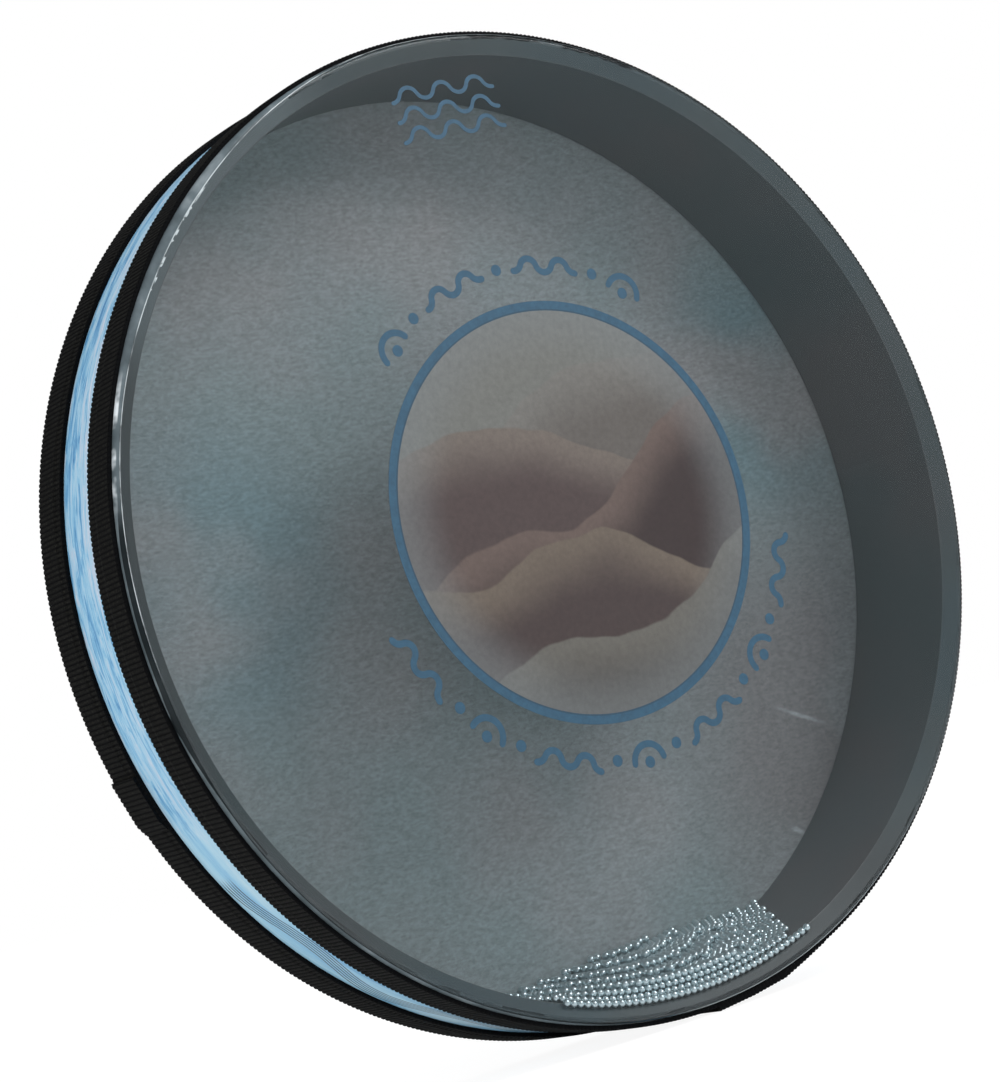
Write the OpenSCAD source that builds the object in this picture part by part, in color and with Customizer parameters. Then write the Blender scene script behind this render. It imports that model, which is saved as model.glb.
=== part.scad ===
// Ocean drum: a shallow round frame drum with a clear front head, a cloudy rear head
// and a heap of loose steel balls that roll on the inside of the shell.
// The drum stands on its edge. X runs to the right as seen from the front, Y runs from
// the front head to the rear head, and Z is up from the floor.

/* [Heads] */
// Diameter over the collar of a head
head_d = 406.4; // [300:0.4:560]
// Thickness of the film of both heads
film_t = 0.36; // [0.25:0.01:0.5]
// Depth of the collar that is folded down over the shell
collar_depth = 14; // [9:0.5:14.5]

/* [Shell] */
// Depth of the shell from edge to edge
shell_depth = 64.5; // [56:0.5:90]
// Thickness of the laminated shell wall
shell_wall = 7.4; // [5:0.1:9]
// Radius of the rounded outer corner that the film turns over
corner_r = 1.2; // [0.8:0.1:1.6]
// Width of the flat crest that carries the film
crest_w = 0.8; // [0.5:0.1:1.5]
// Drop of the front bearing edge towards the inner wall
front_drop = 4; // [2:0.1:4.4]
// Drop of the rear bearing edge towards the inner wall
rear_drop = 1.2; // [0.8:0.1:3]

/* [Shell wrap] */
// Thickness of the printed wrap round the shell
wrap_t = 0.4; // [0.3:0.05:0.6]
// Distance from the shell's edges to the wrap's edges
wrap_setback = 4; // [3:0.5:8]

/* [Binding tapes] */
// Width of the webbing tape
tape_w = 19; // [17:0.5:24]
// Thickness of the webbing tape
tape_t = 1.8; // [1.2:0.1:2.2]
// Distance from the front of the drum to the front tape
front_tape_setback = 2.5; // [2:0.1:4]
// Distance from the back of the drum to the rear tape
rear_tape_setback = 0.5; // [0.4:0.1:4]
// Length over which the front tape overlaps itself
front_lap_len = 62; // [40:1:90]
// Length over which the rear tape overlaps itself
rear_lap_len = 24; // [16:1:60]

/* [Steel balls] */
// Diameter of one ball
ball_d = 3.175; // [2.5:0.005:4]
// Clearance between a ball and the shell or a head
ball_clearance = 0.2; // [0.15:0.05:0.4]
// Height of the heap near the front head
front_heap_h = 8.4; // [5:0.2:10]
// Height of the heap at the rear head
rear_heap_h = 18.8; // [12:0.2:20]
// Unevenness of the top of the heap
heap_rough = 1.6; // [0:0.1:2]

/* [Hidden] */
head_r = head_d / 2;
total_depth = shell_depth + 2 * film_t;
wrap_out_r = head_r - film_t;
shell_out_r = wrap_out_r - wrap_t;
shell_in_r = shell_out_r - shell_wall;
bevel_run = shell_wall - corner_r - crest_w;
bend_r = corner_r + wrap_t + film_t;
round_fn = 240;
arc_steps = 6;

// Angle of each tape's cut end, measured from the lowest point towards +X
front_lap_at = 2.2;
rear_lap_at = -73;
lap_step = 1.5;

// Corners of each overlap: how far along it, and how many tape thicknesses it stands out
front_lap_shares = [[0, 0.9], [0.3, 0.8], [0.58, 1], [0.78, 0.4], [1, 0]];
rear_lap_shares = [[0, 0.6], [0.8, 0.6], [1, 0]];

// The drum stands on the cut end of the front tape's overlap
floor_r = (head_r + tape_t * (1 + front_lap_shares[0][1])) * cos(front_lap_at);

// Left and right ends of three rows, in degrees from the lowest point: the front row,
// which is one ball high, the row behind it and the rearmost row
front_row_ends = [-19.5, 18.7];
second_row_ends = [-19.5, 15.6];
rear_row_ends = [-21.5, 26.3];

// Powers with which the heap falls away towards its left and right ends
left_fall = 1.7;
right_fall = 2;

// Spacing of the balls as shares of their diameter
pitch_share = 1.01;
layer_share = 0.87;
row_share = 1.005;
nest_share = 1 / 3;
seat_share = 0.45;
heap_seed = 7;
ball_fn = 24;

ball_r = ball_d / 2;
layer_step = ball_d * layer_share;
wall_seat_r = shell_in_r - ball_clearance - ball_r;
first_row_y = film_t + ball_clearance + ball_r;
rows_room = total_depth - 2 * first_row_y;
row_count = floor(rows_room / (ball_d * row_share) - nest_share) + 1;
row_step = rows_room / (row_count - 1 + nest_share);

// The front row sits lower than the rest, on the slope of the bearing edge
slope_len = norm([bevel_run, front_drop]);
slope_room = (film_t + front_drop - first_row_y) * bevel_run;
slope_seat_r = shell_in_r - ((ball_r + ball_clearance) * slope_len - slope_room) / front_drop;
front_seat_r = max(slope_seat_r, wall_seat_r);

// Every row starts at a place of its own, so that the balls of two rows don't line up
row_starts = rands(0, 1, row_count, heap_seed);

ball_names = [for (j = [1 : row_count]) str("ball_row_", j < 10 ? "0" : "", j)];

// Points of an arc about a centre, from one angle to another
function arc(centre, r, from, to) = [
  for (i = [0 : arc_steps])
    let (a = from + (to - from) * i / arc_steps) centre + r * [cos(a), sin(a)]
];

// A place on the drum: radius from its axis, angle from the lowest point, depth from the front
function place(r, angle, depth) = [r * sin(angle), r * cos(angle), depth];

// Stands what is drawn about the Z axis, front head down, on its edge over the floor
module on_edge() {
  translate([0, -total_depth / 2, floor_r]) rotate([-90, 0, 0]) children();
}

// Turns a profile of radius and depth about the drum's axis
module turned() {
  on_edge() rotate_extrude($fn = round_fn) children();
}

// Turns a profile that is measured from the back of the drum
module turned_from_rear() {
  turned() translate([0, total_depth]) mirror([0, 1]) children();
}

// Laminated wood-fibre ring with a sloped bearing edge at both ends
module shell() {
  front = film_t;
  rear = film_t + shell_depth;
  corner_x = shell_out_r - corner_r;
  crest_x = corner_x - crest_w;
  color("#5b5f60") turned() polygon(concat(
    [[shell_in_r, front + front_drop], [crest_x, front]],
    arc([corner_x, front + corner_r], corner_r, -90, 0),
    arc([corner_x, rear - corner_r], corner_r, 0, 90),
    [[crest_x, rear], [shell_in_r, rear - rear_drop]]
  ));
}

// Printed wrap glued round the outside of the shell
module shell_wrap() {
  wrap_depth = shell_depth - 2 * wrap_setback;
  color("#9fcdea") turned()
    translate([shell_out_r, film_t + wrap_setback]) square([wrap_t, wrap_depth]);
}

// Tensioned film with its collar, as a profile of radius and depth
module head_profile() {
  bend_x = head_r - bend_r;
  polygon(concat(
    [[0, 0]],
    arc([bend_x, bend_r], bend_r, -90, 0),
    [[head_r, collar_depth], [wrap_out_r, collar_depth]],
    arc([bend_x, bend_r], bend_r - film_t, 0, -90),
    [[0, film_t]]
  ));
}

// Clear head that the balls are seen through
module front_head() {
  color("#aebcc0", 0.3) turned() head_profile();
}

// Cloudy grey head behind the balls
module rear_head() {
  color("#6d7376") turned_from_rear() head_profile();
}

// Webbing that lies over the collar and steps down onto the wrap, as a profile
module tape_profile(setback) {
  far = setback + tape_w;
  step_end = collar_depth + tape_t;
  polygon([
    [head_r, setback], [head_r + tape_t, setback], [head_r + tape_t, collar_depth],
    [wrap_out_r + tape_t, step_end], [wrap_out_r + tape_t, far],
    [wrap_out_r, far], [wrap_out_r, collar_depth], [head_r, collar_depth]
  ]);
}

// Cut end of a tape lying over the start of the same tape, creased at its corners
module tape_lap(at, length, shares, depth) {
  over_r = head_r + tape_t;
  under_r = wrap_out_r + tape_t / 2;
  sweep = length / over_r * 180 / PI;
  count = ceil(sweep / lap_step);
  top = [
    for (share = shares)
      let (a = at + share[0] * sweep) (over_r + share[1] * tape_t) * [sin(a), cos(a)]
  ];
  under = [for (i = [count : -1 : 0]) let (a = at + sweep * i / count) under_r * [sin(a), cos(a)]];
  on_edge() translate([0, 0, depth]) linear_extrude(tape_w) polygon(concat(top, under));
}

// Front tape over the collar of the clear head
module front_binding_tape() {
  color("#17171a") union() {
    turned() tape_profile(front_tape_setback);
    tape_lap(front_lap_at, front_lap_len, front_lap_shares, front_tape_setback);
  }
}

// Rear tape over the collar of the cloudy head
module rear_binding_tape() {
  color("#17171a") union() {
    turned_from_rear() tape_profile(rear_tape_setback);
    tape_lap(rear_lap_at, rear_lap_len, rear_lap_shares, total_depth - rear_tape_setback - tape_w);
  }
}

// Balls of one row of the heap. Rows lie one behind another from the front head to the
// rear head, and the layers of a row climb from the shell wall towards the drum's axis.
module ball_row(row) {
  first = row == 0;
  back = row / (row_count - 1);
  ends = first ? front_row_ends : second_row_ends + (rear_row_ends - second_row_ends) * back;
  middle = (ends[0] + ends[1]) / 2;
  reach = (ends[1] - ends[0]) / 2;
  height = front_heap_h + (rear_heap_h - front_heap_h) * back;
  layers = first ? 1 : floor((height + heap_rough / 2) / layer_step) + 1;
  seat_r = first ? front_seat_r : wall_seat_r;
  slot_angle = ball_d * pitch_share / (seat_r - (layers - 1) * layer_step) * 180 / PI;
  slots = ceil((reach + abs(middle)) / slot_angle) + 2;
  noise = rands(-heap_rough / 2, heap_rough / 2, layers * (2 * slots + 1), heap_seed + row);
  color("#c9d3d8") on_edge()
    for (layer = [0 : layers - 1], slot = [-slots : slots]) {
      angle = (slot + row_starts[row] + (layer % 2) / 2) * slot_angle;
      off = (angle - middle) / reach;
      fall = pow(abs(off), off > 0 ? right_fall : left_fall);
      top = height * (1 - fall) + noise[layer * (2 * slots + 1) + slot + slots];
      row_y = first_row_y + (row + (layer % 2) * nest_share) * row_step;
      if (abs(off) <= 1 && (layer == 0 || layer * layer_step + ball_d * seat_share < top))
        translate(place(seat_r - layer * layer_step, angle, row_y)) sphere(d = ball_d, $fn = ball_fn);
    }
}

shell();
shell_wrap();
front_head();
rear_head();
front_binding_tape();
rear_binding_tape();
for (j = [0 : row_count - 1])
  ball_row(j);
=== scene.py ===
import math

import bmesh
import bpy
import numpy as np
from mathutils import Matrix, Vector


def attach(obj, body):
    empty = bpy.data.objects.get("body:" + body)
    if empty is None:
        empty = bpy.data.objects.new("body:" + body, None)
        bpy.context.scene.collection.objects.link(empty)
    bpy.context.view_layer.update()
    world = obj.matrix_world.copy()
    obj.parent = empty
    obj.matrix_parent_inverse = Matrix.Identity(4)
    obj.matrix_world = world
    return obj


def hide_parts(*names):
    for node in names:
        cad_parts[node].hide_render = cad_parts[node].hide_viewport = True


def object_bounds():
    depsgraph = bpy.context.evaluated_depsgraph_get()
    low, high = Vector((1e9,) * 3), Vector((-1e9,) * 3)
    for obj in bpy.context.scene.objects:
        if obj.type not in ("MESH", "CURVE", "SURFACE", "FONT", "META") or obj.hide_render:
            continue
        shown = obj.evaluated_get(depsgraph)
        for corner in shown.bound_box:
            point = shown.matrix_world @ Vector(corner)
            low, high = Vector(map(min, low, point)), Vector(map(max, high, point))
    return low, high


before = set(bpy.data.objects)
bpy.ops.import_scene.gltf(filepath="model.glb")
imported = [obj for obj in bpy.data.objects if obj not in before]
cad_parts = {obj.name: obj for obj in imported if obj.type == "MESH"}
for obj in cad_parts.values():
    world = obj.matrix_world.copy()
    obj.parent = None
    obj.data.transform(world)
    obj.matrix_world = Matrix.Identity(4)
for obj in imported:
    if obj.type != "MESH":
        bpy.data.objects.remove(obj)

cad_box = [list(corner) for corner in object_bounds()]
scene = bpy.context.scene
scene.view_settings.view_transform = "Standard"


# Camera. It stands a little over a metre in front of the drum and to its left, low down,
# and rolled so that the drum leans as it does in the photograph.
def deselect_all():
    """Leaves edit mode and selects nothing."""
    if bpy.context.object and bpy.context.object.mode != "OBJECT":
        bpy.ops.object.mode_set(mode="OBJECT")
    bpy.ops.object.select_all(action="DESELECT")


deselect_all()
bpy.ops.object.camera_add(
    location=(-0.7055, -1.0011, 0.1126),
    rotation=[math.radians(a) for a in (96.344, 14.622, -33.382)],
)
camera = bpy.context.object
camera.data.sensor_width = 36
camera.data.lens = 99.29
camera.data.shift_x = 0.00065
camera.data.shift_y = -0.0906
camera.data.clip_end = 30
scene.camera = camera


# Studio: a plain white floor, one large soft lamp ahead on the right and a weaker one on
# the left that gives no highlights, in soft light from all round. The camera sees white
# behind the drum.
def linear(sheet):
    """Linear red, green, blue and alpha of an sRGB hex value."""
    parts = [int(sheet[i : i + 2], 16) / 255 for i in (1, 3, 5)]
    return [p / 12.92 if p <= 0.04045 else ((p + 0.055) / 1.055) ** 2.4 for p in parts] + [1]


def add_node(tree, kind, inputs=None, **settings):
    """Adds a node, sets what settings name, and sets or links each input."""
    made = tree.nodes.new("ShaderNode" + kind)
    for name, value in settings.items():
        setattr(made, name, value)
    for name, value in (inputs or {}).items():
        if isinstance(value, bpy.types.Node):
            value = value.outputs[0]
        if isinstance(value, bpy.types.NodeSocket):
            tree.links.new(value, made.inputs[name])
        else:
            made.inputs[name].default_value = value
    return made


def ramp_stops(ramp_node, stops):
    """Sets a colour ramp's stops, each a position and an sRGB hex value."""
    ramp = ramp_node.color_ramp
    for i, (at, sheet) in enumerate(stops):
        stop = ramp.elements[i] if i < 2 else ramp.elements.new(at)
        stop.position = at
        stop.color = linear(sheet)


def new_material(name):
    """An empty node material and its tree."""
    made = bpy.data.materials.new(name)
    made.use_nodes = True
    made.node_tree.nodes.clear()
    return made, made.node_tree


def seen_straight(tree, rays):
    """1 for a ray that comes straight from the camera or through the clear head, else 0."""
    kinds = {0: rays["Is Camera Ray"], 1: rays["Is Transmission Ray"]}
    return add_node(tree, "Math", kinds, operation="MAXIMUM")


world = bpy.data.worlds.new("studio")
scene.world = world
world.use_nodes = True
tree = world.node_tree
tree.nodes.clear()
rays = add_node(tree, "LightPath").outputs
seen = seen_straight(tree, rays)
soft_strength = 0.62
less_in_gloss = 0.26
dimmed = {0: rays["Is Glossy Ray"], 1: -less_in_gloss, 2: soft_strength}
dimmed = add_node(tree, "Math", dimmed, operation="MULTIPLY_ADD")
soft = add_node(tree, "Background", {"Color": linear("#f4f7fa"), "Strength": dimmed})
white = add_node(tree, "Background", {"Color": (1, 1, 1, 1), "Strength": 1.0})
both = add_node(tree, "MixShader", {0: seen, 1: soft, 2: white})
add_node(tree, "OutputWorld", {"Surface": both})

lamp_aim = Vector((0, 0, 0.2))
for place, size, power, highlights in (
    ((1.25, -1.75, 1.75), 1.1, 35, True),
    ((-1.7, -1.5, 1.1), 1.6, 20, False),
):
    deselect_all()
    turn = (lamp_aim - Vector(place)).to_track_quat("-Z", "Y").to_euler()
    bpy.ops.object.light_add(type="AREA", location=place, rotation=turn)
    lamp = bpy.context.object
    lamp.data.size = size
    lamp.data.energy = power
    lamp.visible_glossy = highlights

deselect_all()
bpy.ops.mesh.primitive_plane_add(size=12, location=(0, 0, -0.0003))
floor = bpy.context.object
floor.name = "floor"
floor_paint, tree = new_material("white_painted_floor")
seen = seen_straight(tree, add_node(tree, "LightPath").outputs)
share = add_node(tree, "Math", {0: seen, 1: 0.8}, operation="MULTIPLY")
paint = add_node(tree, "BsdfPrincipled", {"Base Color": linear("#fbfbfb"), "Roughness": 0.9})
glow = add_node(tree, "Emission", {"Color": (1, 1, 1, 1), "Strength": 1.14})
both = add_node(tree, "MixShader", {0: share, 1: paint, 2: glow})
add_node(tree, "OutputMaterial", {"Surface": both})
floor.data.materials.append(floor_paint)


# Shell: the drum's ring, wound from wood fibre and resin and turned true at both edges.
# It is painted satin grey inside, which mirrors the rear head softly. The sloped bearing edge is
# sanded by hand, so its tone wanders, and both are seen through the clear head. The edge is
# lighter at the upper left, and painted shade darkens it on the left and at the lower right.
tape_over_collar = 0.205
axis_z = cad_box[1][2] - tape_over_collar
half_depth = cad_box[1][1]


def coat(node, finish):
    """Gives a CAD node this material in every slot."""
    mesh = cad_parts[node].data
    mesh.materials.clear()
    mesh.materials.append(finish)


def overlap(tree, *shares):
    """The share that is left where all of several shares apply: their product."""
    whole = shares[0]
    for share in shares[1:]:
        whole = add_node(tree, "Math", {0: whole, 1: share}, operation="MULTIPLY").outputs[0]
    return whole


def band(tree, value, soft, low=None, high=None):
    """1 where a value is over low and under high, fading out over a soft edge beyond them."""
    sides = []
    if low is not None:
        sides.append((low - soft, low))
    if high is not None:
        sides.append((high + soft, high))
    shares = []
    for gone, full in sides:
        fade = {"Value": value, "From Min": gone, "From Max": full}
        fade = add_node(tree, "MapRange", fade, interpolation_type="SMOOTHSTEP")
        shares.append(fade.outputs[0])
    return overlap(tree, *shares)


def drum_places(tree):
    """Object coordinates, the place from the drum's axis, and the radius and angle there.

    The angle is measured in degrees from the lowest point of the rim towards +X."""
    place = add_node(tree, "TexCoord").outputs["Object"]
    centred = add_node(tree, "Mapping", {"Vector": place, "Location": (0, 0, -axis_z)}).outputs[0]
    parts = add_node(tree, "SeparateXYZ", {"Vector": centred}).outputs
    flat = add_node(tree, "CombineXYZ", {"X": parts["X"], "Z": parts["Z"]})
    radius = add_node(tree, "VectorMath", {0: flat}, operation="LENGTH").outputs["Value"]
    drop = add_node(tree, "Math", {0: parts["Z"], 1: -1}, operation="MULTIPLY")
    turn = add_node(tree, "Math", {0: parts["X"], 1: drop}, operation="ARCTAN2")
    angle = add_node(tree, "Math", {0: turn}, operation="DEGREES").outputs[0]
    return place, parts, radius, angle


def overlaid(tree, base, *coats):
    """A colour with coats laid over it, each a share and a colour. A text is a hex value."""
    for share, colour in coats:
        under, over = (linear(c) if isinstance(c, str) else c for c in (base, colour))
        mixed = add_node(tree, "Mix", {0: share, 6: under, 7: over}, data_type="RGBA")
        base = mixed.outputs[2]
    return base


shell_paint, tree = new_material("painted_wood_fibre_laminate")
place, parts, radius, angle = drum_places(tree)
mottle = add_node(tree, "TexNoise", {"Vector": place, "Scale": 11, "Detail": 2})
wall = add_node(tree, "ValToRGB", {"Fac": mottle})
ramp_stops(wall, ((0.38, "#3a4143"), (0.62, "#464445"), (0.5, "#404446")))
edge = add_node(tree, "ValToRGB", {"Fac": mottle})
ramp_stops(edge, ((0.38, "#303d42"), (0.62, "#3a3e40"), (0.5, "#363e40")))
edge = edge.outputs[0]
# Patches on the bearing edge by angle: lighter at the upper left, and painted shade on the left
# and at the lower right
for first, last, share, edge_patch_tint in (
    (-152, -124, 0.4, "#6a7477"),
    (-110, -70, 0.3, "#181e20"),
    (8, 30, 0.55, "#14191b"),
):
    edge_patch = overlap(tree, band(tree, angle, 12, first, last), share)
    edge = overlaid(tree, edge, (edge_patch, edge_patch_tint))
edge_start_r = 0.1957
on_edge = band(tree, radius, 0.0008, low=edge_start_r)
paint = overlaid(tree, wall.outputs[0], (on_edge, edge))
fibre = add_node(tree, "TexNoise", {"Vector": place, "Scale": 900, "Detail": 2})
bump = add_node(tree, "Bump", {"Height": fibre, "Strength": 0.02, "Distance": 0.0001})
bsdf = add_node(tree, "BsdfPrincipled", {"Base Color": paint, "Roughness": 0.4, "Normal": bump})
add_node(tree, "OutputMaterial", {"Surface": bsdf})
coat("shell", shell_paint)


# Shell wrap: a vinyl sheet with a soft sheen, glued to the outside of the shell. It is
# printed in watery blue strokes that run round the drum, and a bundle of thin dark lines,
# 2 mm apart and 10 mm wide in all, waves along its lower left.
vinyl, tree = new_material("printed_vinyl_wrap")
place, parts, radius, angle = drum_places(tree)
pools = add_node(tree, "Mapping", {"Vector": place, "Scale": (9, 70, 9)})
pools = add_node(tree, "TexNoise", {"Vector": pools, "Scale": 1, "Detail": 2, "Distortion": 0.5})
strokes = add_node(tree, "Mapping", {"Vector": place, "Scale": (52, 560, 52)})
strokes = add_node(
    tree, "TexNoise",
    {"Vector": strokes, "Scale": 1, "Detail": 5, "Roughness": 0.7, "Distortion": 0.9},
)
mixed = add_node(tree, "Mix", {0: 0.68, 2: pools.outputs[0], 3: strokes.outputs[0]})
tint = add_node(tree, "ValToRGB", {"Fac": mixed})
blues = (
    (0.36, "#3a7db6"),
    (0.64, "#dbe3f0"),
    (0.43, "#5f9fce"),
    (0.49, "#8ac3e4"),
    (0.54, "#aed6ec"),
    (0.59, "#bdd1e6"),
)
ramp_stops(tint, blues)
# At the lower left the print is calmer, and its lighter blues are painted light from the left and
# below
calm_lit_blues = add_node(tree, "ValToRGB", {"Fac": pools})
ramp_stops(calm_lit_blues, ((0.35, "#7fbbdf"), (0.65, "#c2e3f0"), (0.5, "#a5d5ec")))
lower = band(tree, angle, 7, -62, -14)
tint = overlaid(tree, tint.outputs[0], (overlap(tree, lower, 0.75), calm_lit_blues.outputs[0]))

# Depths of the bundle are in millimetres from the front of the drum
bundle_swing, bundle_depth = 4.6, 35.5
bundle_half = 5.2
depth = {0: parts["Y"], 1: 1000, 2: half_depth * 1000}
depth = add_node(tree, "Math", depth, operation="MULTIPLY_ADD")
swing = add_node(tree, "Math", {0: angle, 1: 0.3}, operation="MULTIPLY")
swing = add_node(tree, "Math", {0: swing}, operation="SINE")
middle = {0: swing, 1: bundle_swing, 2: bundle_depth}
middle = add_node(tree, "Math", middle, operation="MULTIPLY_ADD")
off = add_node(tree, "Math", {0: depth, 1: middle}, operation="SUBTRACT").outputs[0]
between = add_node(tree, "Math", {0: off, 1: 1}, operation="PINGPONG").outputs[0]
hairline = band(tree, between, 0.25, high=0.3)
bundle = band(tree, off, 0.1, -bundle_half, bundle_half)
bundle = overlap(tree, bundle, band(tree, angle, 2, -57, -8))
tint = overlaid(tree, tint, (overlap(tree, hairline, bundle, 0.9), "#1f282e"))
bsdf = add_node(tree, "BsdfPrincipled", {"Base Color": tint, "Roughness": 0.42})
add_node(tree, "OutputMaterial", {"Surface": bsdf})
coat("shell_wrap", vinyl)


# Rear head: a cloudy grey polyester film, heated and folded over the shell. A grain like
# paper lies over soft green and brown clouds, drawn coarser than the real one so that it
# shows, and the film is scuffed at two places.
cloudy, tree = new_material("cloudy_polyester_film")
place, parts, radius, angle = drum_places(tree)
clouds = add_node(tree, "TexNoise", {"Vector": place, "Scale": 10, "Detail": 2, "Roughness": 0.45})
tint = add_node(tree, "ValToRGB", {"Fac": clouds})
ramp_stops(tint, ((0.36, "#748082"), (0.64, "#807f80"), (0.5, "#7b8082")))
tint = tint.outputs[0]
for across, up, reach, cloud_tint in (
    (-0.135, 0.008, 0.085, "#647a80"),
    (0.158, 0.045, 0.08, "#647a80"),
    (0.15, -0.105, 0.12, "#6f6d6e"),
):
    cloud = {
        "Vector": place,
        "Location": (across, 0, axis_z + up),
        "Scale": (reach, 1, reach),
    }
    cloud = add_node(tree, "Mapping", cloud, vector_type="TEXTURE")
    cloud = add_node(tree, "TexGradient", {"Vector": cloud}, gradient_type="SPHERICAL")
    cloud = band(tree, cloud.outputs[0], 0.7, low=0.7)
    torn = band(tree, clouds.outputs[0], 0.22, high=0.38)
    tint = overlaid(tree, tint, (overlap(tree, cloud, torn), cloud_tint))
fibres = add_node(tree, "Mapping", {"Vector": place, "Scale": (420, 420, 900)})
grain = add_node(tree, "TexNoise", {"Vector": fibres, "Scale": 1, "Detail": 3, "Roughness": 0.7})


def grained(tree, colour, grain, darkest, lightest):
    """A colour that a grain darkens and lightens, between two factors."""
    speck = {"Value": grain, "From Min": 0.3, "From Max": 0.7}
    speck = add_node(tree, "MapRange", {**speck, "To Min": darkest, "To Max": lightest})
    both = {0: 1.0, 6: colour, 7: speck}
    return add_node(tree, "Mix", both, data_type="RGBA", blend_type="MULTIPLY").outputs[2]


grey = grained(tree, tint, grain, 0.72, 1.26)
for across, down, slant, length, width in (
    (0.138, 0.1023, 26, 0.019, 0.0016),
    (0.1195, 0.1502, 34, 0.006, 0.002),
):
    line = {
        "Vector": place,
        "Location": (across, 0, axis_z - down),
        "Rotation": (0, math.radians(slant), 0),
        "Scale": (length, 1, width),
    }
    line = add_node(tree, "Mapping", line, vector_type="TEXTURE")
    near = add_node(tree, "TexGradient", {"Vector": line}, gradient_type="SPHERICAL")
    near = band(tree, near.outputs[0], 0.8, low=0.8)
    scuff = overlap(tree, near, grain.outputs[0], 0.75)
    grey = overlaid(tree, grey, (scuff, "#b4bcbe"))
bump = add_node(tree, "Bump", {"Height": grain, "Strength": 0.08, "Distance": 0.00005})
bsdf = add_node(tree, "BsdfPrincipled", {"Base Color": grey, "Roughness": 0.5, "Normal": bump})
add_node(tree, "OutputMaterial", {"Surface": bsdf})
coat("rear_head", cloudy)


# Steel balls: hard bearing balls of an eighth of an inch, loose in the drum, polished so
# that each shows a bright point. One ball is modelled, a hair over size to make up for its
# flat faces, and each row of the heap is stamped from it at its balls' places.
steel, tree = new_material("polished_ball_steel")
place = add_node(tree, "TexCoord").outputs["Object"]
smudge = add_node(tree, "TexNoise", {"Vector": place, "Scale": 260, "Detail": 1})
dull = add_node(tree, "MapRange", {"Value": smudge, "To Min": 0.26, "To Max": 0.36})
bsdf = add_node(
    tree, "BsdfPrincipled",
    {"Base Color": linear("#dbe8ec"), "Metallic": 1.0, "Roughness": dull},
)
add_node(tree, "OutputMaterial", {"Surface": bsdf})

ball_r = 0.0016125
deselect_all()
bpy.ops.mesh.primitive_ico_sphere_add(subdivisions=2, radius=ball_r, location=(0, 0, 0))
one_ball = bpy.context.object
one_ball.name = "one_ball"
ball_points = np.array([v.co for v in one_ball.data.vertices])
ball_faces = np.array([list(p.vertices) for p in one_ball.data.polygons])


def solid_centres(mesh):
    """Middle of each separate solid of a CAD mesh, whose points lie solid by solid."""
    points = np.empty(len(mesh.vertices) * 3)
    mesh.vertices.foreach_get("co", points)
    points = points.reshape(-1, 3)
    corners = np.empty(len(mesh.loops), dtype=np.int64)
    mesh.loops.foreach_get("vertex_index", corners)
    corners = corners.reshape(-1, 3)
    open_faces = np.zeros(len(points) + 1, dtype=np.int64)
    np.add.at(open_faces, corners.min(axis=1), 1)
    np.add.at(open_faces, corners.max(axis=1), -1)
    ends = np.nonzero(np.cumsum(open_faces)[: len(points)] == 0)[0]
    starts = np.concatenate(([0], ends[:-1] + 1))
    low = np.minimum.reduceat(points, starts)
    high = np.maximum.reduceat(points, starts)
    return (low + high) / 2


for node in sorted(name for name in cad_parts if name.startswith("ball_row")):
    centres = solid_centres(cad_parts[node].data)
    points = (centres[:, None, :] + ball_points[None, :, :]).reshape(-1, 3)
    jumps = np.arange(len(centres)) * len(ball_points)
    faces = (jumps[:, None, None] + ball_faces[None, :, :]).reshape(-1, 3)
    mesh = bpy.data.meshes.new(node + "_balls")
    mesh.from_pydata(points.tolist(), [], faces.tolist())
    mesh.polygons.foreach_set("use_smooth", np.ones(len(faces), dtype=bool))
    mesh.materials.append(steel)
    row = bpy.data.objects.new(node + "_balls", mesh)
    scene.collection.objects.link(row)
    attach(row, "ball_heap")
    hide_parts(node)
bpy.data.objects.remove(one_ball)


# Clear head: stretched polyester film, smooth on both sides, that lets the balls show. It is milky
# where it was heated and folded over the shell's corner, and is painted lighter there, in part as
# the room's reflection. The crease wanders, and shows as a white line at the upper left, which is
# a painted highlight, and a dark gap at the lower left, which is painted shade.
film, tree = new_material("clear_polyester_film")
place, parts, radius, angle = drum_places(tree)
clear = add_node(tree, "BsdfTransparent", {"Color": (0.965, 0.98, 0.985, 1)})
haze = add_node(tree, "BsdfDiffuse", {"Color": linear("#8d9698")})
skin = add_node(tree, "MixShader", {0: 0.03, 1: clear, 2: haze})

# The crease's place is the radius, less what the crease has wandered at that angle
crease = add_node(tree, "Math", {0: radius, 1: -0.0019}, operation="ADD")
for first, last, out in (
    (-172, -136, 0.0030),
    (-128, -108, -0.0011),
    (-84, -60, -0.0010),
    (-24, -4, -0.0005),
):
    wander = band(tree, angle, last - first, low=last)
    crease = add_node(tree, "Math", {0: wander, 1: out, 2: crease}, operation="MULTIPLY_ADD")
crease = crease.outputs[0]
streaks = {"Vector": place, "Scale": 60, "Detail": 3, "Roughness": 0.6}
streaks = add_node(tree, "TexNoise", streaks).outputs[0]
blots = {"Vector": place, "Scale": 330, "Detail": 2, "Roughness": 0.6}
blots = add_node(tree, "TexNoise", blots).outputs[0]


def paint_over(share, sheet):
    """The film's skin so far with a matt colour laid over it by a share."""
    colour = linear(sheet) if isinstance(sheet, str) else sheet
    matt = add_node(tree, "BsdfDiffuse", {"Color": colour})
    return add_node(tree, "MixShader", {0: share, 1: skin, 2: matt})


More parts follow.
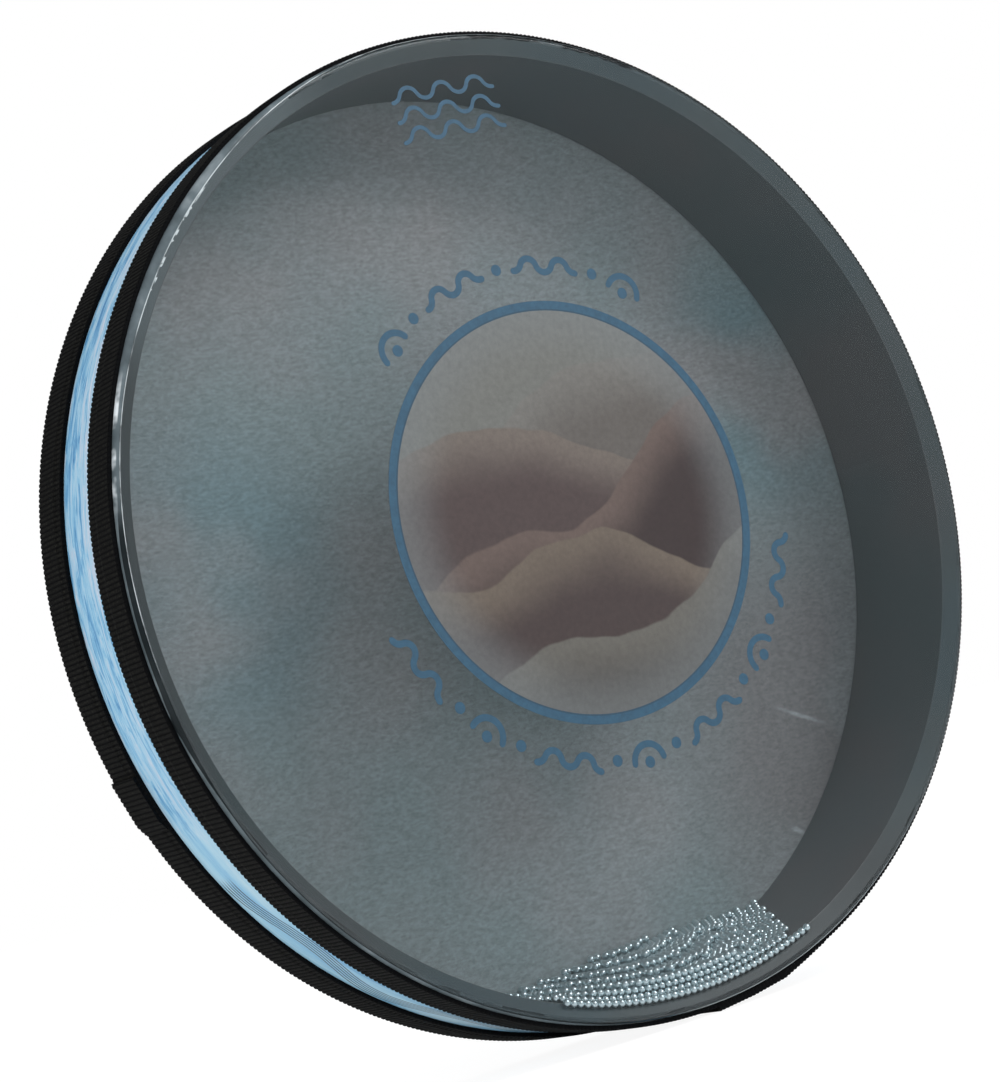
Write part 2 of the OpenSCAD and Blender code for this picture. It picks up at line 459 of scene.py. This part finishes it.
# The milky collar, painted lighter in part as the room's reflection in it
collar_tint_and_reflection = add_node(tree, "ValToRGB", {"Fac": streaks})
ramp_stops(collar_tint_and_reflection, ((0.35, "#525c60"), (0.74, "#8c969a"), (0.55, "#667176")))
collar_start_r = 0.20142
collar = band(tree, crease, 0.00014, low=collar_start_r)
collar = overlap(tree, collar, band(tree, angle, 12, -200, -14))
skin = paint_over(overlap(tree, collar, 0.85), collar_tint_and_reflection.outputs[0])

# A painted highlight: a thin white line along the crease at the upper left
left_top = band(tree, angle, 5, -200, -86)
highlight_near, highlight_far = 0.20098, 0.20118
highlight_line = band(tree, crease, 0.00012, highlight_near, highlight_far)
highlight_line = overlap(tree, highlight_line, left_top, band(tree, streaks, 0.32, low=0.62))
skin = paint_over(overlap(tree, highlight_line, 0.9), "#cdd5d8")
drip_near, drip_far = 0.20030, 0.20095
drips = band(tree, crease, 0.0001, drip_near, drip_far)
drips = overlap(tree, drips, band(tree, blots, 0.06, low=0.58))
skin = paint_over(overlap(tree, drips, band(tree, angle, 2, -139, -125), 0.7), "#c9d2d5")
# A painted highlight: a bright patch on the collar at the left
glare_start_r = 0.2026
painted_glare = band(tree, radius, 0.0004, low=glare_start_r)
painted_glare = overlap(tree, painted_glare, band(tree, angle, 3, -112, -102))
skin = paint_over(overlap(tree, painted_glare, band(tree, streaks, 0.14, low=0.6)), "#dde3e6")

# Painted shade: a near-black line in the gap at the crease, widening on the left
shade_line_near, shade_line_far = 0.20132, 0.20150
shade_widening = 0.0015
shade_line_end = {0: band(tree, angle, 14, -95, -78), 1: shade_widening, 2: shade_line_far}
shade_line_end = add_node(tree, "Math", shade_line_end, operation="MULTIPLY_ADD")
shade_room = add_node(tree, "Math", {0: shade_line_end, 1: crease}, operation="SUBTRACT").outputs[0]
gap = band(tree, crease, 0.00006, low=shade_line_near)
gap = overlap(tree, gap, band(tree, shade_room, 0.00008, low=0.00004))
skin = paint_over(overlap(tree, gap, band(tree, angle, 6, -97, 2), 0.9), "#0b1012")

# A painted highlight: a pale line where the film turns over the shell, at the top and at the lower
# right
for near, far, first, last in ((0.20285, 0.20312, 136, 181), (0.20235, 0.20262, 2, 62)):
    turned_edge_highlight = band(tree, radius, 0.00006, near, far)
    turned_edge_highlight = overlap(tree, turned_edge_highlight, band(tree, angle, 8, first, last))
    skin = paint_over(overlap(tree, turned_edge_highlight, 0.7), "#b6bfc2")

# Two dark smears of glue with a ragged inner side, at the top
ragged = add_node(tree, "Math", {0: blots, 1: 0.0045, 2: 0.1985}, operation="MULTIPLY_ADD")
ragged = add_node(tree, "Math", {0: radius, 1: ragged}, operation="SUBTRACT").outputs[0]
glue = band(tree, ragged, 0.0002, low=0.0002)
glue = overlap(tree, glue, band(tree, radius, 0.0002, high=0.2024))
for first, last in ((154.5, 163.5), (168, 177)):
    smear = overlap(tree, glue, band(tree, angle, 0.8, first, last), 0.5)
    skin = paint_over(smear, "#15181a")

# Only the outer face shines, so that the film doesn't mirror the lamp twice
gloss = add_node(tree, "BsdfGlossy", {"Roughness": 0.12})
edge = add_node(tree, "Fresnel", {"IOR": 1.5}).outputs[0]
back = add_node(tree, "NewGeometry").outputs["Backfacing"]
outer = add_node(tree, "Math", {0: 1, 1: back}, operation="SUBTRACT").outputs[0]
shine = overlap(tree, edge, outer, 0.22)
skin = add_node(tree, "MixShader", {0: shine, 1: skin, 2: gloss})
add_node(tree, "OutputMaterial", {"Surface": skin})
coat("front_head", film)


# Binding tapes: woven black webbing, matt and ribbed across, wound round both collars. It
# holds the heads down and hides their edges, and each end laps over its start and is cut
# square. A rib is four columns of points, of which rib_sink gives the depth.
rib_count = 640
rib_steps = 4
rib_sink = (0, 0.00005, 0.00034, 0.00005)

webbing, tree = new_material("woven_polypropylene_webbing")
place, parts, radius, angle = drum_places(tree)
rib_place = add_node(tree, "Math", {0: angle, 1: rib_count / 360}, operation="MULTIPLY")
rib_place = add_node(tree, "Math", {0: rib_place, 1: 0.5}, operation="PINGPONG").outputs[0]
# Painted shade: the furrows between ribs stay near black, and only the crests show the yarn
crest = band(tree, rib_place, 0.3, high=0.12)
yarn = add_node(tree, "Mapping", {"Vector": place, "Scale": (900, 2600, 900)})
yarn = add_node(tree, "TexNoise", {"Vector": yarn, "Scale": 1, "Detail": 2, "Roughness": 0.6})
thread = add_node(tree, "ValToRGB", {"Fac": yarn})
ramp_stops(thread, ((0.35, "#050505"), (0.7, "#2c2b26"), (0.52, "#11110f")))
face = overlaid(tree, "#040405", (crest, thread.outputs[0]))
# Painted shade: the webbing's side walls, facing front or back, are painted near black
normal = add_node(tree, "NewGeometry").outputs["Normal"]
side = add_node(tree, "SeparateXYZ", {"Vector": normal}).outputs["Y"]
side = add_node(tree, "Math", {0: side}, operation="ABSOLUTE").outputs[0]
face = overlaid(tree, face, (band(tree, side, 0.3, low=0.8), "#030406"))
bump = add_node(tree, "Bump", {"Height": yarn, "Strength": 0.5, "Distance": 0.0003})
bsdf = add_node(
    tree, "BsdfPrincipled",
    {"Base Color": face, "Roughness": 0.8, "Specular IOR Level": 0.12, "Normal": bump},
)
add_node(tree, "OutputMaterial", {"Surface": bsdf})


def around(point):
    """Angle of a point from the lowest point of the rim towards +X, in degrees."""
    return math.degrees(math.atan2(point.x, axis_z - point.z))


def out_from_axis(point):
    """Distance of a point from the drum's axis."""
    return math.hypot(point.x, point.z - axis_z)


def straight_between(corners, at):
    """Radius at an angle on the straight lines that join corners of angle and radius."""
    for (a, ra), (b, rb) in zip(corners, corners[1:]):
        if a <= at <= b:
            span, left, right = (math.radians(v) for v in (b - a, at - a, b - at))
            return ra * rb * math.sin(span) / (ra * math.sin(left) + rb * math.sin(right))
    return corners[-1][1]


def select_points(mesh, wanted):
    """Selects the points in edit mode that a test picks, and what lies between them."""
    bpy.ops.mesh.select_all(action="DESELECT")
    edit = bmesh.from_edit_mesh(mesh)
    for point in edit.verts:
        point.select_set(wanted(point.co))
    edit.select_flush_mode()
    bmesh.update_edit_mesh(mesh)


def webbing_ring(name, outline):
    """A ring of webbing round the drum, its outline given as radius and depth."""
    deselect_all()
    start_r, start_y = outline[0]
    bpy.ops.mesh.primitive_circle_add(
        vertices=rib_count * rib_steps,
        radius=start_r,
        location=(0, start_y, axis_z),
        rotation=(math.pi / 2, 0, 0),
    )
    tape = bpy.context.object
    tape.name = name
    bpy.ops.object.transform_apply(location=True, rotation=True, scale=True)
    bpy.ops.object.mode_set(mode="EDIT")
    bpy.ops.mesh.select_all(action="SELECT")
    for (r, y), (next_r, next_y) in zip(outline, outline[1:] + outline[:1]):
        bpy.ops.mesh.extrude_edges_move(TRANSFORM_OT_translate={"value": (0, next_y - y, 0)})
        bpy.ops.transform.resize(value=(next_r / r, 1, next_r / r), center_override=(0, 0, axis_z))
    bpy.ops.mesh.select_all(action="SELECT")
    bpy.ops.mesh.remove_doubles(threshold=0.00002)
    bpy.ops.mesh.normals_make_consistent(inside=False)
    return tape


def lap_over(tape, corners, face_r):
    """Raises the webbing between two angles to a second thickness, shaped by its corners."""
    first, last = corners[0][0], corners[-1][0]
    mesh = tape.data
    margin = 0.02
    select_points(
        mesh,
        lambda p: out_from_axis(p) > face_r and first - margin <= around(p) <= last + margin,
    )
    bpy.ops.mesh.extrude_region_shrink_fatten(TRANSFORM_OT_shrink_fatten={"value": 0.0004})
    edit = bmesh.from_edit_mesh(mesh)
    columns = {}
    for point in edit.verts:
        if point.select:
            columns.setdefault(round(around(point.co), 2), []).append(point)
    for at, column in columns.items():
        wanted = straight_between(corners, at)
        for point in column:
            k = wanted / out_from_axis(point.co)
            point.co = (point.co.x * k, point.co.y, axis_z + (point.co.z - axis_z) * k)
    bmesh.update_edit_mesh(mesh)


def rib(tape, face_r, edges):
    """Sinks the furrows between the ribs, and draws the webbing's edges in there."""
    edge_reach = 0.0006
    step = 360 / (rib_count * rib_steps)
    mesh = tape.data
    edit = bmesh.from_edit_mesh(mesh)
    for point in edit.verts:
        if out_from_axis(point.co) > face_r:
            sink = rib_sink[round(around(point.co) / step) % rib_steps]
            k = 1 - sink / out_from_axis(point.co)
            drawn = point.co.y
            for edge_y, inward in edges:
                if abs(point.co.y - edge_y) < edge_reach:
                    drawn += inward * sink * 0.5
            point.co = (point.co.x * k, drawn, axis_z + (point.co.z - axis_z) * k)
    bmesh.update_edit_mesh(mesh)
    bpy.ops.mesh.select_all(action="SELECT")
    bpy.ops.mesh.normals_make_consistent(inside=False)
    bpy.ops.object.mode_set(mode="OBJECT")


tape_over_wrap = 0.20464
tape_thickness = 0.0018
tape_width = 0.019
collar_depth = 0.014
collar_r, wrap_r = 0.20323, 0.20287
soft_edge = 0.0004
soft_drop = 0.00042
lapped_faces_r = 0.2044
ribbed_faces_r = 0.2041
front_lap = ((0, 0.9), (0.3, 0.8), (0.58, 1), (0.78, 0.4), (1, 0))
rear_lap = ((0, 0.6), (0.8, 0.6), (1, 0))
tape_kinds = (
    ("front", -1, half_depth - 0.0025, 2.2, 0.062, front_lap),
    ("rear", 1, half_depth - 0.0005, -73, 0.024, rear_lap),
)
for end, facing, near, lap_at, lap_length, lap_shape in tape_kinds:
    far = near - tape_width
    fold = half_depth - collar_depth
    step = fold - tape_thickness

    # Radius and depth, across the outer face and back underneath
    outline = [
        (tape_over_collar - soft_drop, near),
        (tape_over_collar, near - soft_edge),
        (tape_over_collar, near - 0.004),
        (tape_over_collar, near - 0.0075),
        (tape_over_collar, fold),
        (tape_over_wrap, step),
        (tape_over_wrap, (step + far) / 2),
        (tape_over_wrap, far + soft_edge),
        (tape_over_wrap - soft_drop, far),
        (wrap_r, far),
        (wrap_r, fold - 0.0002),
        (collar_r, fold),
        (collar_r, near),
    ]
    tape = webbing_ring(end + "_webbing", [(r, facing * depth) for r, depth in outline])
    sweep = math.degrees(lap_length / tape_over_collar)
    corners = [
        (lap_at + along * sweep, tape_over_collar + thick * tape_thickness)
        for along, thick in lap_shape
    ]
    lap_over(tape, corners, lapped_faces_r)
    rib(tape, ribbed_faces_r, ((facing * near, -facing), (facing * far, facing)))
    tape.data.materials.append(webbing)
    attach(tape, "drum")
    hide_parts(end + "_binding_tape")


# Print on the clear head: a blue ring round a picture, a hair off the middle and turned
# slightly. It is screen printed in thin ink. The picture is a plain landscape of soft
# dunes in warm greys and browns, drawn for this model.
print_x = 0.0005
print_z = axis_z + 0.001
print_turn = math.radians(3.5)
ink_thickness = 0.00005
film_face = -half_depth - 0.00001
ink_front = film_face - ink_thickness
ring_r = 0.0872
picture_r = 0.0831


def on_print(x, z):
    """A place on the film's face, from a place in the print about its middle."""
    turned_x = x * math.cos(print_turn) - z * math.sin(print_turn)
    turned_z = x * math.sin(print_turn) + z * math.cos(print_turn)
    return (print_x + turned_x, ink_front, print_z + turned_z)


def print_places(tree):
    """The place across and up the print from its middle, in millimetres, and the radius."""
    place = add_node(tree, "TexCoord").outputs["Object"]
    moved = add_node(tree, "Mapping", {"Vector": place, "Location": (-print_x, 0, -print_z)})
    turned = {"Vector": moved, "Rotation": (0, print_turn, 0), "Scale": (1000, 1000, 1000)}
    turned = add_node(tree, "Mapping", turned)
    parts = add_node(tree, "SeparateXYZ", {"Vector": turned}).outputs
    flat = add_node(tree, "CombineXYZ", {"X": parts["X"], "Z": parts["Z"]})
    radius = add_node(tree, "VectorMath", {0: flat}, operation="LENGTH").outputs["Value"]
    return place, parts, radius


def set_ink(piece, ink):
    """Closes flat ink to its thickness, and fixes it to the film."""
    deselect_all()
    bpy.context.view_layer.objects.active = piece
    piece.select_set(True)
    bpy.ops.object.mode_set(mode="EDIT")
    bpy.ops.mesh.select_all(action="SELECT")
    bpy.ops.mesh.remove_doubles(threshold=0.00001)
    bpy.ops.mesh.extrude_region_move(TRANSFORM_OT_translate={"value": (0, ink_thickness, 0)})
    bpy.ops.mesh.select_all(action="SELECT")
    bpy.ops.mesh.normals_make_consistent(inside=False)
    bpy.ops.object.mode_set(mode="OBJECT")
    piece.data.materials.clear()
    piece.data.materials.append(ink)
    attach(piece, "drum")


blue_ink, tree = new_material("blue_screen_ink")
place, parts, radius = print_places(tree)
grain = add_node(tree, "TexNoise", {"Vector": place, "Scale": 420, "Detail": 4, "Roughness": 0.7})
tint = add_node(tree, "ValToRGB", {"Fac": grain})
ramp_stops(tint, ((0.3, "#264a60"), (0.7, "#2f5871")))
rim = band(tree, radius, 0.15, 83.0, 83.7)
tint = overlaid(tree, tint.outputs[0], (overlap(tree, rim, 0.6), "#223b4b"))
bsdf = add_node(tree, "BsdfPrincipled", {"Base Color": tint, "Roughness": 0.5})
thin = add_node(tree, "BsdfTransparent")
ink = add_node(tree, "MixShader", {0: 0.92, 1: thin, 2: bsdf})
add_node(tree, "OutputMaterial", {"Surface": ink})

deselect_all()
bpy.ops.mesh.primitive_circle_add(
    vertices=192, radius=ring_r, location=on_print(0, 0), rotation=(math.pi / 2, 0, 0)
)
ring = bpy.context.object
ring.name = "print_ring"
bpy.ops.object.transform_apply(location=True, rotation=True, scale=True)
bpy.ops.object.mode_set(mode="EDIT")
bpy.ops.mesh.select_all(action="SELECT")
bpy.ops.mesh.extrude_edges_move(TRANSFORM_OT_translate={"value": (0, 0, 0)})
inner_share = picture_r / ring_r
bpy.ops.transform.resize(value=(inner_share, 1, inner_share), center_override=on_print(0, 0))
bpy.ops.object.mode_set(mode="OBJECT")
set_ink(ring, blue_ink)

picture_ink, tree = new_material("four_colour_screen_ink")
place, parts, radius = print_places(tree)
waver = add_node(tree, "TexNoise", {"Vector": place, "Scale": 26, "Detail": 2, "Roughness": 0.45})
waver = add_node(tree, "Math", {0: waver, 1: 16, 2: -8}, operation="MULTIPLY_ADD").outputs[0]
ink_tint = linear("#757672")
dunes = (
    (46, 7, 0.045, 0.6, 0.16, "#645f5b", "#787672"),
    (24, 11, 0.035, 2.4, -0.2, "#4f4140", "#756b64"),
    (2, 9, 0.05, 4.4, 0.3, "#392c2c", "#6a5a54"),
    (-22, 12, 0.038, 1.2, -0.24, "#463938", "#706459"),
    (-50, 8, 0.05, 3.4, 0.22, "#4a4542", "#6b6862"),
)
for level, swell, pace, start, slant, hollow_tint, crest_tint in dunes:
    swing = add_node(tree, "Math", {0: parts["X"], 1: pace, 2: start}, operation="MULTIPLY_ADD")
    swing = add_node(tree, "Math", {0: swing}, operation="SINE")
    ridge = add_node(tree, "Math", {0: swing, 1: swell, 2: level}, operation="MULTIPLY_ADD")
    ridge = add_node(tree, "Math", {0: parts["X"], 1: slant, 2: ridge}, operation="MULTIPLY_ADD")
    ridge = add_node(tree, "Math", {0: ridge, 1: waver}, operation="ADD")
    below = add_node(tree, "Math", {0: ridge, 1: parts["Z"]}, operation="SUBTRACT").outputs[0]
    body = overlaid(tree, crest_tint, (band(tree, below, 26, low=26), hollow_tint))
    ink_tint = overlaid(tree, ink_tint, (band(tree, below, 1.2, low=0.6), body))
faded_rim = overlap(tree, band(tree, radius, 26, low=84), 0.55)
ink_tint = overlaid(tree, ink_tint, (faded_rim, "#7c8284"))
grain = add_node(tree, "TexNoise", {"Vector": place, "Scale": 420, "Detail": 4, "Roughness": 0.7})
ink_tint = grained(tree, ink_tint, grain, 0.72, 0.92)
bsdf = add_node(tree, "BsdfPrincipled", {"Base Color": ink_tint, "Roughness": 0.5})
thin = add_node(tree, "BsdfTransparent")
ink = add_node(tree, "MixShader", {0: 0.85, 1: thin, 2: bsdf})
add_node(tree, "OutputMaterial", {"Surface": ink})

deselect_all()
bpy.ops.mesh.primitive_circle_add(
    vertices=192,
    radius=picture_r,
    fill_type="NGON",
    location=on_print(0, 0),
    rotation=(math.pi / 2, 0, 0),
)
picture = bpy.context.object
picture.name = "print_picture"
bpy.ops.object.transform_apply(location=True, rotation=True, scale=True)
set_ink(picture, picture_ink)


# Marks round the print: a row of plain waves, ripples and dots over the ring and another
# under it, in the same blue ink, and three long waves near the top of the head.
def beside(heading, reach):
    """The way from a point on a stroke to the centre of its arc, on the left if positive."""
    return Vector((-math.sin(heading), 0, math.cos(heading))) * reach


def round_off(middle, heading, width):
    """Rounds the end of a stroke, whose last edge is selected."""
    for push, keep in ((0.22, 0.84), (0.18, 0.62), (0.08, 0.4)):
        ahead = (push * width * math.cos(heading), 0, push * width * math.sin(heading))
        bpy.ops.mesh.extrude_edges_move(TRANSFORM_OT_translate={"value": ahead})
        middle = middle + Vector(ahead)
        bpy.ops.transform.resize(value=(keep, 1, keep), center_override=middle)


def inked_stroke(across, up, width, arcs, back_arcs=()):
    """A flat stroke with round ends: an upright edge spun through arcs of radius and degrees.

    A positive angle turns left. The arcs go right from the edge, and the back arcs go left."""
    deselect_all()
    start = Vector((print_x + across, ink_front, print_z + up))
    bpy.ops.mesh.primitive_plane_add(
        size=width, location=start + Vector((width / 2, 0, 0)), rotation=(math.pi / 2, 0, 0)
    )
    stroke = bpy.context.object
    bpy.ops.object.transform_apply(location=True, rotation=True, scale=True)
    bpy.ops.object.mode_set(mode="EDIT")
    select_points(stroke.data, lambda p: p.x > start.x + width / 2)
    bpy.ops.mesh.delete(type="VERT")
    for turns, heading in ((arcs, 0), (back_arcs, math.pi)):
        select_points(
            stroke.data,
            lambda p: abs(p.x - start.x) < 1e-6 and abs(p.z - start.z) < width * 0.51,
        )
        middle = start.copy()
        for reach, degrees in turns:
            turn = math.radians(degrees)
            arm = math.copysign(reach, turn)
            centre = middle + beside(heading, arm)
            steps = max(3, round(abs(degrees) / 12))
            bpy.ops.mesh.spin(steps=steps, angle=turn, center=centre, axis=(0, 1, 0))
            heading += turn
            middle = centre - beside(heading, arm)
        round_off(middle, heading, width)
    bpy.ops.object.mode_set(mode="OBJECT")
    return stroke


def joined(pieces, name):
    """One piece out of several."""
    deselect_all()
    for piece in pieces:
        piece.select_set(True)
    bpy.context.view_layer.objects.active = pieces[0]
    if len(pieces) > 1:
        bpy.ops.object.join()
    bpy.context.object.name = name
    return bpy.context.object


def ink_dot(across, up, size):
    """A round dot of ink."""
    deselect_all()
    bpy.ops.mesh.primitive_circle_add(
        vertices=20,
        radius=size / 2,
        fill_type="NGON",
        location=(print_x + across, ink_front, print_z + up),
        rotation=(math.pi / 2, 0, 0),
    )
    bpy.ops.object.transform_apply(location=True, rotation=True, scale=True)
    return bpy.context.object


# The patterns of the marks are drawn at the top of the print and copied round it
mark_width = 0.0028
mark_ring = 0.1021
dot_size = 0.0048
wave_r, wave_turn = 0.004, 72
wave_length = 8 * wave_r * math.sin(math.radians(wave_turn))
wave_low = mark_ring - wave_r * (1 - math.cos(math.radians(wave_turn)))
wave_turns = (wave_turn, -2 * wave_turn, 2 * wave_turn, -2 * wave_turn, wave_turn)
one_wave = [(wave_r, turn) for turn in wave_turns]
one_wave = inked_stroke(-wave_length / 2, wave_low, mark_width, one_wave)
arch_r, arch_turn, arch_up, arch_wide = 0.0074, 84, 0.0043, 0.0180
arch_halves = [(arch_r, -arch_turn)], [(arch_r, arch_turn)]
one_arch = inked_stroke(0, mark_ring + arch_up, mark_width, *arch_halves)
mark_kinds = {
    "wave": (wave_length + mark_width, [one_wave]),
    "ripple": (arch_wide, [one_arch, ink_dot(0, mark_ring - 0.0031, dot_size)]),
    "dot": (dot_size, [ink_dot(0, mark_ring, dot_size)]),
}
marks = {kind: (wide, joined(made, "one_" + kind)) for kind, (wide, made) in mark_kinds.items()}


def mark_row(name, kinds, first, last, tops_out):
    """A row of marks evenly spaced between two angles, tops away from the picture or to it.

    The angles are measured from +X towards +Z, about the middle of the print."""
    total = sum(marks[kind][0] for kind in kinds)
    direction = math.copysign(1, last - first)
    gap = (mark_ring * math.radians(abs(last - first)) - total) / (len(kinds) - 1)
    along = 0
    made = []
    for kind in kinds:
        wide, pattern = marks[kind]
        at = math.radians(first) + direction * (along + wide / 2) / mark_ring
        along += wide + gap
        mark = pattern.copy()
        mark.data = pattern.data.copy()
        scene.collection.objects.link(mark)
        home = Matrix.Translation((print_x, 0, print_z))
        turn = Matrix.Rotation(math.pi / 2 - at, 4, "Y")
        flip = Matrix.Identity(4)
        if not tops_out:
            flip = Matrix.Translation((0, 0, mark_ring)) @ Matrix.Rotation(math.pi, 4, "Y")
            flip = flip @ Matrix.Translation((0, 0, -mark_ring))
        mark.data.transform(home @ turn @ flip @ home.inverted())
        made.append(mark)
    row = joined(made, name)
    set_ink(row, blue_ink)


upper = ["ripple", "dot", "wave", "dot", "wave", "dot", "ripple"]
lower = ["wave", "dot", "ripple", "dot"] * 3 + ["wave"]
mark_row("print_marks_upper", upper, 135.4, 53.7, True)
mark_row("print_marks_lower", lower, -161.7, -14.4, False)

crest_r, crest_turn, crest_count = 0.0046, 66, 5
crest_width = 2 * crest_r * math.sin(math.radians(crest_turn))
long_swell = [(crest_r, crest_turn)]
long_swell += [(crest_r, 2 * crest_turn * (-1) ** (i + 1)) for i in range(crest_count)]
long_swell += [(crest_r, crest_turn)]
long_start = -crest_width * (crest_count + 1) / 2
long_width = 0.0018
long_waves = [
    inked_stroke(long_start, up, long_width, long_swell) for up in (-0.0112, -0.0027, 0.0058)
]
long_waves = joined(long_waves, "print_waves_top")
waves_r, waves_at = 0.1725, math.radians(93.4)
home = Matrix.Translation((print_x, 0, print_z))
place = (waves_r * math.cos(waves_at), 0, axis_z + waves_r * math.sin(waves_at))
place = Matrix.Translation(place)
long_waves.data.transform(place @ Matrix.Rotation(-print_turn, 4, "Y") @ home.inverted())
set_ink(long_waves, blue_ink)
for wide, pattern in marks.values():
    bpy.data.objects.remove(pattern)
